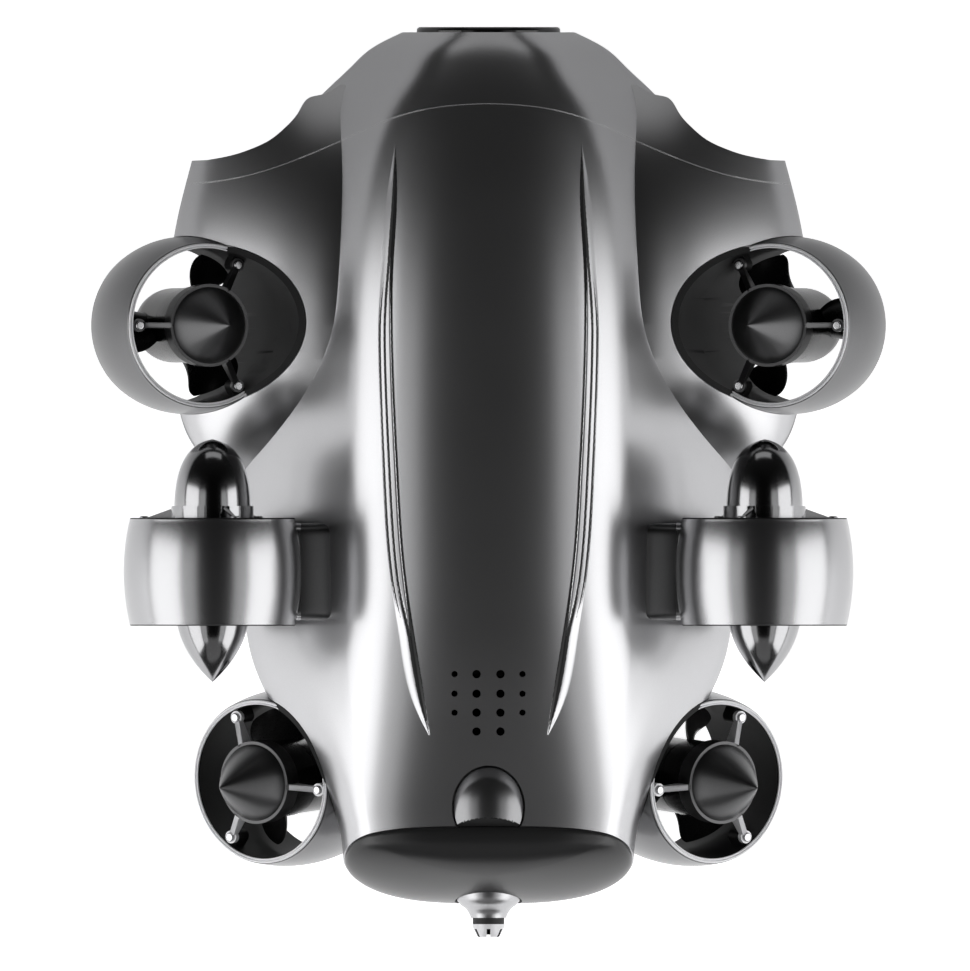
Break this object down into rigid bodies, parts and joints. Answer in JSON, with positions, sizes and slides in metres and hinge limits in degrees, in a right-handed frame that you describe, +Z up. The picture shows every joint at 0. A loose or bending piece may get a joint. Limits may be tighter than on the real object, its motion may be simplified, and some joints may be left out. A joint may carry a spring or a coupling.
{
  "type": "underwater inspection rov",
  "caption": "Compact underwater inspection vehicle with a smooth silver hull, ducted thrusters, a nose camera behind a round window, lamps and a tether gland",
  "frame": {"origin": "middle of the vehicle's footprint, on the surface that the flat belly rests on", "axes": "+X to starboard, +Y to the nose, +Z up"},
  "size_m": [0.3322, 0.3804, 0.1372],
  "materials": {
    "hull_paint": "metallic silver-grey paint under clear lacquer",
    "duct_paint": "metallic silver-grey paint under clear lacquer",
    "black_moulding": "glossy black moulding",
    "pod_gloss": "glossy dark grey moulding",
    "cap_gloss": "glossy charcoal",
    "bezel_gloss": "glossy black",
    "rim_chrome": "polished",
    "steel": "stainless",
    "seal_rubber": "soft black rubber",
    "window_glass": "clear",
    "anodised": "hard anodised",
    "battery_wrap": "shrink wrap",
    "board_green": "solder mask",
    "insert_brass": "turned"
  },
  "bodies": {
    "hull": {"front_left_duct": "duct_paint", "front_left_guard": "black_moulding", "front_left_motor_pod": "pod_gloss", "front_left_rim": "rim_chrome", "front_right_duct": "duct_paint", "front_right_guard": "black_moulding", "front_right_motor_pod": "pod_gloss", "front_right_rim": "rim_chrome", "middle_left_duct": "duct_paint", "middle_left_guard": "black_moulding", "middle_left_motor_pod": "pod_gloss", "middle_right_duct": "duct_paint", "middle_right_guard": "black_moulding", "middle_right_motor_pod": "pod_gloss", "rear_left_duct": "duct_paint", "rear_left_guard": "black_moulding", "rear_left_motor_pod": "pod_gloss", "rear_left_rim": "rim_chrome", "rear_right_duct": "duct_paint", "rear_right_guard": "black_moulding", "rear_right_motor_pod": "pod_gloss", "rear_right_rim": "rim_chrome", "top_shell": "hull_paint", "bottom_shell": "hull_paint", "front_cowl": "hull_paint", "tail_cap": "cap_gloss", "tail_plug": "cap_gloss", "gland_boss": "rim_chrome", "gland_collet": "rim_chrome", "gland_seal": "seal_rubber", "camera_bezel": "bezel_gloss", "camera_window": "window_glass", "camera_housing": "bezel_gloss", "camera_lens": "bezel_gloss", "lamp_bezels": "bezel_gloss", "lamp_reflectors": "rim_chrome", "lamp_glasses": "window_glass", "pressure_hull": "anodised", "front_bulkhead": "anodised", "rear_bulkhead": "anodised", "battery_pack": "battery_wrap", "main_board": "board_green", "mount_inserts": "insert_brass", "belly_screws": "steel", "guard_screws": "steel"},
    "front_left_rotor": {"front_left_propeller": "black_moulding", "front_left_shaft": "steel"},
    "front_right_rotor": {"front_right_propeller": "black_moulding", "front_right_shaft": "steel"},
    "middle_left_rotor": {"middle_left_propeller": "black_moulding", "middle_left_shaft": "steel"},
    "middle_right_rotor": {"middle_right_propeller": "black_moulding", "middle_right_shaft": "steel"},
    "rear_left_rotor": {"rear_left_propeller": "black_moulding", "rear_left_shaft": "steel"},
    "rear_right_rotor": {"rear_right_propeller": "black_moulding", "rear_right_shaft": "steel"}
  },
  "joints": [
    {"name": "front_left_spin", "type": "hinge", "parent": "hull", "child": "front_left_rotor", "pos_m": [-0.12788, 0.0655, 0.05629], "axis": [0.342, 0, 0.9397], "continuous": true},
    {"name": "front_right_spin", "type": "hinge", "parent": "hull", "child": "front_right_rotor", "pos_m": [0.12788, 0.0655, 0.05629], "axis": [-0.342, 0, 0.9397], "continuous": true},
    {"name": "middle_left_spin", "type": "hinge", "parent": "hull", "child": "middle_left_rotor", "pos_m": [-0.1154, -0.043, 0.1], "axis": [0, 1, 0], "continuous": true},
    {"name": "middle_right_spin", "type": "hinge", "parent": "hull", "child": "middle_right_rotor", "pos_m": [0.1154, -0.043, 0.1], "axis": [0, 1, 0], "continuous": true},
    {"name": "rear_left_spin", "type": "hinge", "parent": "hull", "child": "rear_left_rotor", "pos_m": [-0.07861, -0.12262, 0.03852], "axis": [-0.589, -0.0922, 0.8028], "continuous": true},
    {"name": "rear_right_spin", "type": "hinge", "parent": "hull", "child": "rear_right_rotor", "pos_m": [0.07861, -0.12262, 0.03852], "axis": [0.589, -0.0922, 0.8028], "continuous": true}
  ]
}
